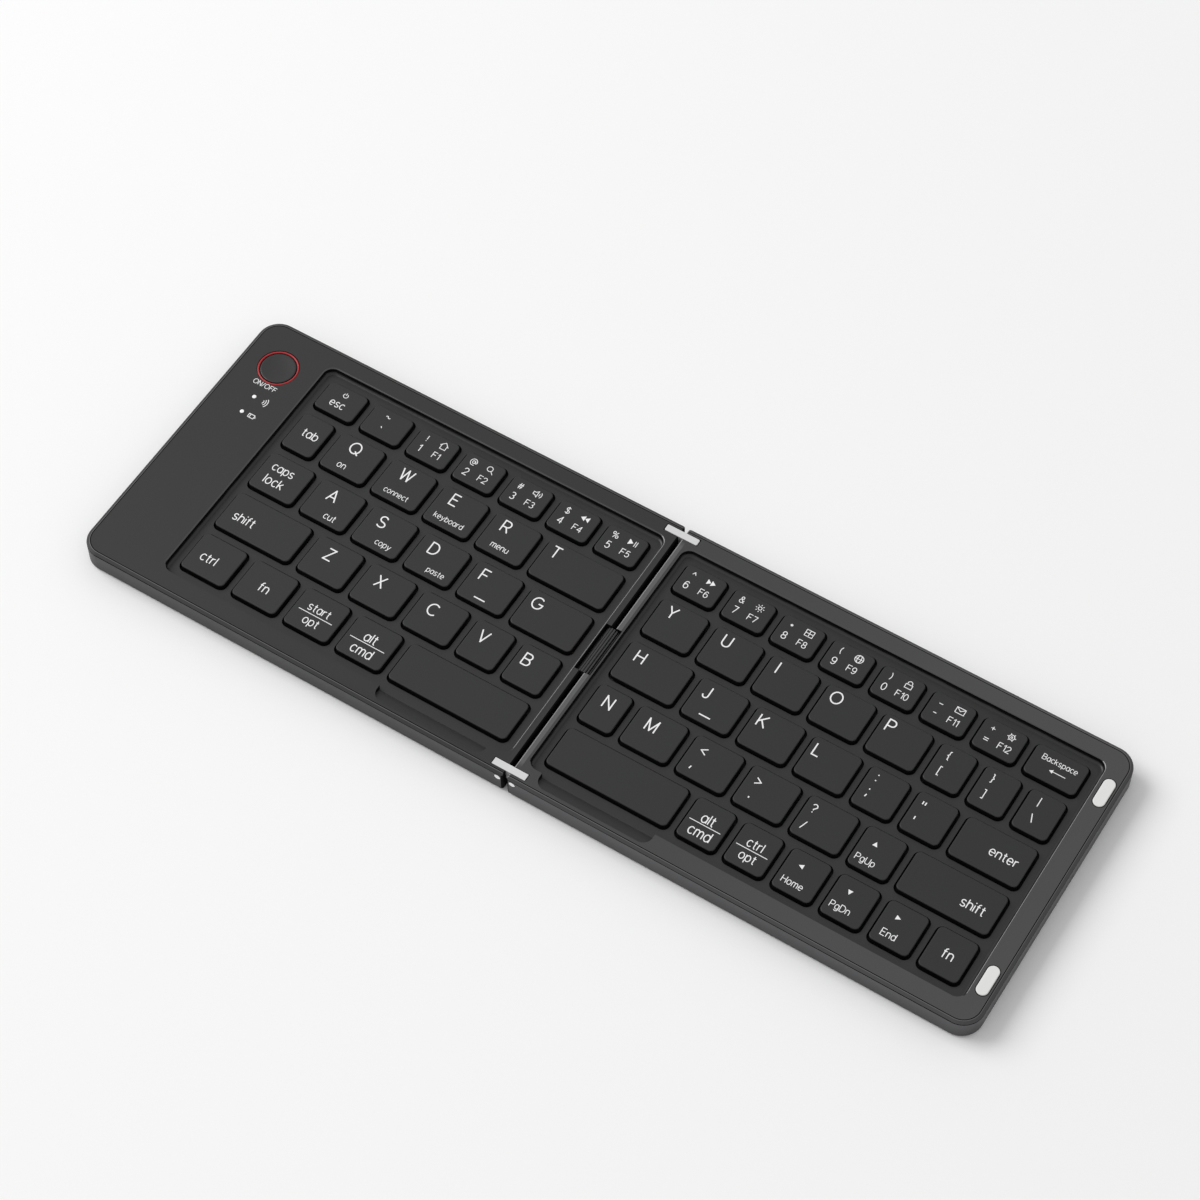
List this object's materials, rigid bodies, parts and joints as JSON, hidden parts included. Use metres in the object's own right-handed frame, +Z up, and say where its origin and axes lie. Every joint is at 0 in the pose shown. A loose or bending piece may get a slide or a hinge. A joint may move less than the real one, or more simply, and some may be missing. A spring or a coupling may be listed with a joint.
{
  "type": "folding keyboard",
  "caption": "Slim wireless keyboard that folds in half, face to face, on short link bars, with low scissor keys in a sunken well and a button panel at one end.",
  "frame": {"origin": "middle of the open keyboard's footprint, on the table under the feet", "axes": "+X along the keyboard from the button panel to the end with the closing pads, +Y to the back, +Z up"},
  "size_m": [0.292, 0.0978, 0.0082],
  "materials": {
    "lower_case": "fine matt moulded surface, a little paler and bluer than the top",
    "top_cover": "fine matt charcoal",
    "keycap_plastic": "matt charcoal with white printed legends",
    "button_plastic": "half gloss, shallow dish",
    "ring_colour": "glossy red",
    "lens_plastic": "clear white",
    "pad_plastic": "smooth white",
    "link_metal": "satin white",
    "pin_steel": "satin",
    "screw_steel": "blackened",
    "steel_plate": "plain sheet",
    "magnet_nickel": "nickel plated",
    "socket_steel": "drawn shell",
    "membrane": "frosted film",
    "dome_rubber": "black silicone",
    "scissor_plastic": "black",
    "battery_foil": "foil pouch",
    "circuit_board": "solder mask",
    "foot_rubber": "matt",
    "sleeve_rubber": "matt ribbed",
    "flex_film": "black film"
  },
  "bodies": {
    "left_half": {"left_lower_case": "lower_case", "left_top_cover": "top_cover", "left_key_grid": "top_cover", "left_key_plate": "steel_plate", "left_membrane": "membrane", "left_dome_sheet": "dome_rubber", "left_scissors": "scissor_plastic", "battery": "battery_foil", "main_board": "circuit_board", "charging_socket": "socket_steel", "button_ring": "ring_colour", "indicator_lenses": "lens_plastic", "left_magnets": "magnet_nickel", "left_feet": "foot_rubber", "left_screws": "screw_steel", "left_hinge_pins": "pin_steel"},
    "hinge_links": {"front_link": "link_metal", "rear_link": "link_metal", "cable_sleeve": "sleeve_rubber", "flex_cable": "flex_film"},
    "right_half": {"right_lower_case": "lower_case", "right_top_cover": "top_cover", "right_key_grid": "top_cover", "right_key_plate": "steel_plate", "right_membrane": "membrane", "right_dome_sheet": "dome_rubber", "right_scissors": "scissor_plastic", "right_magnets": "magnet_nickel", "closing_pads": "pad_plastic", "right_feet": "foot_rubber", "right_screws": "screw_steel", "right_hinge_pins": "pin_steel"},
    "power_button": {"power_button": "button_plastic"},
    "left_function_keys": {"left_function_keys": "keycap_plastic"},
    "left_upper_keys": {"left_upper_keys": "keycap_plastic"},
    "left_home_keys": {"left_home_keys": "keycap_plastic"},
    "left_lower_keys": {"left_lower_keys": "keycap_plastic"},
    "left_modifier_keys": {"left_modifier_keys": "keycap_plastic"},
    "esc_key": {"esc_key": "keycap_plastic"},
    "tab_key": {"tab_key": "keycap_plastic"},
    "caps_key": {"caps_key": "keycap_plastic"},
    "left_shift_key": {"left_shift_key": "keycap_plastic"},
    "ctrl_key": {"ctrl_key": "keycap_plastic"},
    "left_space_key": {"left_space_key": "keycap_plastic"},
    "right_function_keys": {"right_function_keys": "keycap_plastic"},
    "right_upper_keys": {"right_upper_keys": "keycap_plastic"},
    "right_home_keys": {"right_home_keys": "keycap_plastic"},
    "right_lower_keys": {"right_lower_keys": "keycap_plastic"},
    "right_modifier_keys": {"right_modifier_keys": "keycap_plastic"},
    "backspace_key": {"backspace_key": "keycap_plastic"},
    "enter_key": {"enter_key": "keycap_plastic"},
    "right_shift_key": {"right_shift_key": "keycap_plastic"},
    "fn_key": {"fn_key": "keycap_plastic"},
    "up_key": {"up_key": "keycap_plastic"},
    "arrow_left_key": {"arrow_left_key": "keycap_plastic"},
    "arrow_down_key": {"arrow_down_key": "keycap_plastic"},
    "arrow_right_key": {"arrow_right_key": "keycap_plastic"},
    "right_space_key": {"right_space_key": "keycap_plastic"}
  },
  "joints": [
    {"name": "left_pivot", "type": "hinge", "parent": "left_half", "child": "hinge_links", "pos_m": [-0.00235, 0, 0.006], "axis": [0, -1, 0], "range_deg": [0, 90], "deforming": ["cable_sleeve", "flex_cable"]},
    {"name": "right_pivot", "type": "hinge", "parent": "hinge_links", "child": "right_half", "pos_m": [0.00235, 0, 0.006], "axis": [0, -1, 0], "range_deg": [0, 90], "deforming": ["cable_sleeve", "flex_cable"]},
    {"name": "power_button_press", "type": "slide", "parent": "left_half", "child": "power_button", "axis": [0, 0, -1], "range_m": [0, 0.0003], "stiffness_N_per_m": 800, "springref_m": -0.0003},
    {"name": "left_function_keys_press", "type": "slide", "parent": "left_half", "child": "left_function_keys", "axis": [0, 0, -1], "range_m": [0, 0.0012], "stiffness_N_per_m": 2400, "springref_m": -0.0003, "deforming": ["left_dome_sheet", "left_scissors"]},
    {"name": "left_upper_keys_press", "type": "slide", "parent": "left_half", "child": "left_upper_keys", "axis": [0, 0, -1], "range_m": [0, 0.0012], "stiffness_N_per_m": 2000, "springref_m": -0.0003, "deforming": ["left_dome_sheet", "left_scissors"]},
    {"name": "left_home_keys_press", "type": "slide", "parent": "left_half", "child": "left_home_keys", "axis": [0, 0, -1], "range_m": [0, 0.0012], "stiffness_N_per_m": 2000, "springref_m": -0.0003, "deforming": ["left_dome_sheet", "left_scissors"]},
    {"name": "left_lower_keys_press", "type": "slide", "parent": "left_half", "child": "left_lower_keys", "axis": [0, 0, -1], "range_m": [0, 0.0012], "stiffness_N_per_m": 2000, "springref_m": -0.0003, "deforming": ["left_dome_sheet", "left_scissors"]},
    {"name": "left_modifier_keys_press", "type": "slide", "parent": "left_half", "child": "left_modifier_keys", "axis": [0, 0, -1], "range_m": [0, 0.0012], "stiffness_N_per_m": 1200, "springref_m": -0.0003, "deforming": ["left_dome_sheet", "left_scissors"]},
    {"name": "esc_key_press", "type": "slide", "parent": "left_half", "child": "esc_key", "axis": [0, 0, -1], "range_m": [0, 0.0012], "stiffness_N_per_m": 400, "springref_m": -0.0003, "deforming": ["left_dome_sheet", "left_scissors"]},
    {"name": "tab_key_press", "type": "slide", "parent": "left_half", "child": "tab_key", "axis": [0, 0, -1], "range_m": [0, 0.0012], "stiffness_N_per_m": 400, "springref_m": -0.0003, "deforming": ["left_dome_sheet", "left_scissors"]},
    {"name": "caps_key_press", "type": "slide", "parent": "left_half", "child": "caps_key", "axis": [0, 0, -1], "range_m": [0, 0.0012], "stiffness_N_per_m": 400, "springref_m": -0.0003, "deforming": ["left_dome_sheet", "left_scissors"]},
    {"name": "left_shift_key_press", "type": "slide", "parent": "left_half", "child": "left_shift_key", "axis": [0, 0, -1], "range_m": [0, 0.0012], "stiffness_N_per_m": 400, "springref_m": -0.0003, "deforming": ["left_dome_sheet", "left_scissors"]},
    {"name": "ctrl_key_press", "type": "slide", "parent": "left_half", "child": "ctrl_key", "axis": [0, 0, -1], "range_m": [0, 0.0012], "stiffness_N_per_m": 400, "springref_m": -0.0003, "deforming": ["left_dome_sheet", "left_scissors"]},
    {"name": "left_space_key_press", "type": "slide", "parent": "left_half", "child": "left_space_key", "axis": [0, 0, -1], "range_m": [0, 0.0012], "stiffness_N_per_m": 400, "springref_m": -0.0003, "deforming": ["left_dome_sheet", "left_scissors"]},
    {"name": "right_function_keys_press", "type": "slide", "parent": "right_half", "child": "right_function_keys", "axis": [0, 0, -1], "range_m": [0, 0.0012], "stiffness_N_per_m": 2800, "springref_m": -0.0003, "deforming": ["right_dome_sheet", "right_scissors"]},
    {"name": "right_upper_keys_press", "type": "slide", "parent": "right_half", "child": "right_upper_keys", "axis": [0, 0, -1], "range_m": [0, 0.0012], "stiffness_N_per_m": 3200, "springref_m": -0.0003, "deforming": ["right_dome_sheet", "right_scissors"]},
    {"name": "right_home_keys_press", "type": "slide", "parent": "right_half", "child": "right_home_keys", "axis": [0, 0, -1], "range_m": [0, 0.0012], "stiffness_N_per_m": 2400, "springref_m": -0.0003, "deforming": ["right_dome_sheet", "right_scissors"]},
    {"name": "right_lower_keys_press", "type": "slide", "parent": "right_half", "child": "right_lower_keys", "axis": [0, 0, -1], "range_m": [0, 0.0012], "stiffness_N_per_m": 2000, "springref_m": -0.0003, "deforming": ["right_dome_sheet", "right_scissors"]},
    {"name": "right_modifier_keys_press", "type": "slide", "parent": "right_half", "child": "right_modifier_keys", "axis": [0, 0, -1], "range_m": [0, 0.0012], "stiffness_N_per_m": 800, "springref_m": -0.0003, "deforming": ["right_dome_sheet", "right_scissors"]},
    {"name": "backspace_key_press", "type": "slide", "parent": "right_half", "child": "backspace_key", "axis": [0, 0, -1], "range_m": [0, 0.0012], "stiffness_N_per_m": 400, "springref_m": -0.0003, "deforming": ["right_dome_sheet", "right_scissors"]},
    {"name": "enter_key_press", "type": "slide", "parent": "right_half", "child": "enter_key", "axis": [0, 0, -1], "range_m": [0, 0.0012], "stiffness_N_per_m": 400, "springref_m": -0.0003, "deforming": ["right_dome_sheet", "right_scissors"]},
    {"name": "right_shift_key_press", "type": "slide", "parent": "right_half", "child": "right_shift_key", "axis": [0, 0, -1], "range_m": [0, 0.0012], "stiffness_N_per_m": 400, "springref_m": -0.0003, "deforming": ["right_dome_sheet", "right_scissors"]},
    {"name": "fn_key_press", "type": "slide", "parent": "right_half", "child": "fn_key", "axis": [0, 0, -1], "range_m": [0, 0.0012], "stiffness_N_per_m": 400, "springref_m": -0.0003, "deforming": ["right_dome_sheet", "right_scissors"]},
    {"name": "up_key_press", "type": "slide", "parent": "right_half", "child": "up_key", "axis": [0, 0, -1], "range_m": [0, 0.0012], "stiffness_N_per_m": 400, "springref_m": -0.0003, "deforming": ["right_dome_sheet", "right_scissors"]},
    {"name": "arrow_left_key_press", "type": "slide", "parent": "right_half", "child": "arrow_left_key", "axis": [0, 0, -1], "range_m": [0, 0.0012], "stiffness_N_per_m": 400, "springref_m": -0.0003, "deforming": ["right_dome_sheet", "right_scissors"]},
    {"name": "arrow_down_key_press", "type": "slide", "parent": "right_half", "child": "arrow_down_key", "axis": [0, 0, -1], "range_m": [0, 0.0012], "stiffness_N_per_m": 400, "springref_m": -0.0003, "deforming": ["right_dome_sheet", "right_scissors"]},
    {"name": "arrow_right_key_press", "type": "slide", "parent": "right_half", "child": "arrow_right_key", "axis": [0, 0, -1], "range_m": [0, 0.0012], "stiffness_N_per_m": 400, "springref_m": -0.0003, "deforming": ["right_dome_sheet", "right_scissors"]},
    {"name": "right_space_key_press", "type": "slide", "parent": "right_half", "child": "right_space_key", "axis": [0, 0, -1], "range_m": [0, 0.0012], "stiffness_N_per_m": 400, "springref_m": -0.0003, "deforming": ["right_dome_sheet", "right_scissors"]}
  ]
}
